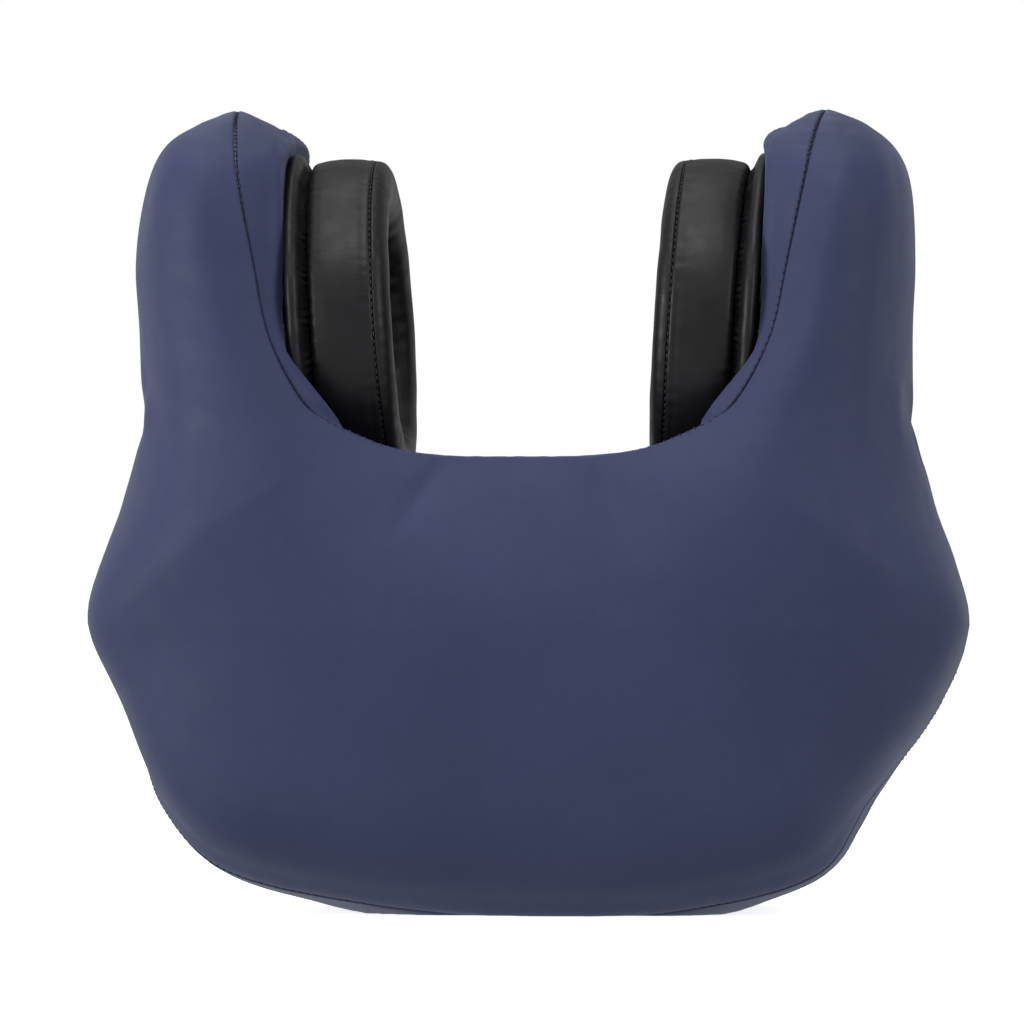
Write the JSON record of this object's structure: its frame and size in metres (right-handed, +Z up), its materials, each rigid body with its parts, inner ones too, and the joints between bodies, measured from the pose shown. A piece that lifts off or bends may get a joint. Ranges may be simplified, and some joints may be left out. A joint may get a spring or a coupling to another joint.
{
  "type": "head and neck support cushion",
  "caption": "U-shaped memory-foam head and neck support cushion in a zipped stretch-fabric cover, with a padded, tilting ear ring on the inside of each arm.",
  "frame": {"origin": "middle of the bounding box's underside, on the flat base", "axes": "+X to the right seen from the back, +Y from the back to the front, +Z up along the arms"},
  "size_m": [0.2842, 0.1534, 0.2599],
  "materials": {
    "memory_foam": "matte",
    "navy_fabric": "matte",
    "leatherette": "satin",
    "cup_plastic": "matte",
    "dark_foam": "matte",
    "acoustic_mesh": "matte",
    "zip_tape": "matte",
    "zip_coil": "satin",
    "zip_metal": "satin"
  },
  "bodies": {
    "cushion": {"foam_core": "memory_foam", "cover_back_panel": "navy_fabric", "cover_front_panel": "navy_fabric", "zip_upper_tape": "zip_tape", "zip_lower_tape": "zip_tape", "zip_upper_teeth": "zip_coil", "zip_lower_teeth": "zip_coil", "zip_left_end_stop": "zip_metal", "zip_right_end_stop": "zip_metal", "left_ear_cup_shell": "cup_plastic", "left_acoustic_foam": "dark_foam", "left_suspension_ring": "dark_foam", "left_gaiter": "leatherette", "right_ear_cup_shell": "cup_plastic", "right_acoustic_foam": "dark_foam", "right_suspension_ring": "dark_foam", "right_gaiter": "leatherette"},
    "left_ear_pad": {"left_pad_base_ring": "cup_plastic", "left_pad_foam": "dark_foam", "left_pad_band": "leatherette", "left_pad_face": "leatherette", "left_acoustic_mesh": "acoustic_mesh"},
    "right_ear_pad": {"right_pad_base_ring": "cup_plastic", "right_pad_foam": "dark_foam", "right_pad_band": "leatherette", "right_pad_face": "leatherette", "right_acoustic_mesh": "acoustic_mesh"},
    "zip_slider": {"zip_slider": "zip_metal"},
    "zip_pull": {"zip_pull": "zip_metal"}
  },
  "joints": [
    {"name": "left_pad_tilt", "type": "hinge", "parent": "cushion", "child": "left_ear_pad", "pos_m": [-0.07151, 0.002, 0.18821], "axis": [-0.061, 0, 0.9981], "range_deg": [-5, 5], "stiffness_Nm_per_rad": 0.5, "deforming": ["left_gaiter", "left_suspension_ring"]},
    {"name": "right_pad_tilt", "type": "hinge", "parent": "cushion", "child": "right_ear_pad", "pos_m": [0.07151, 0.002, 0.18821], "axis": [0.061, 0, 0.9981], "range_deg": [-5, 5], "stiffness_Nm_per_rad": 0.5, "deforming": ["right_gaiter", "right_suspension_ring"]},
    {"name": "zip_slide", "type": "slide", "parent": "cushion", "child": "zip_slider", "axis": [1, 0, 0], "range_m": [-0.114, 0]},
    {"name": "zip_pull_swing", "type": "hinge", "parent": "zip_slider", "child": "zip_pull", "pos_m": [0.057, 0.07516, 0.053], "axis": [0, 0, -1], "range_deg": [0, 170]}
  ]
}
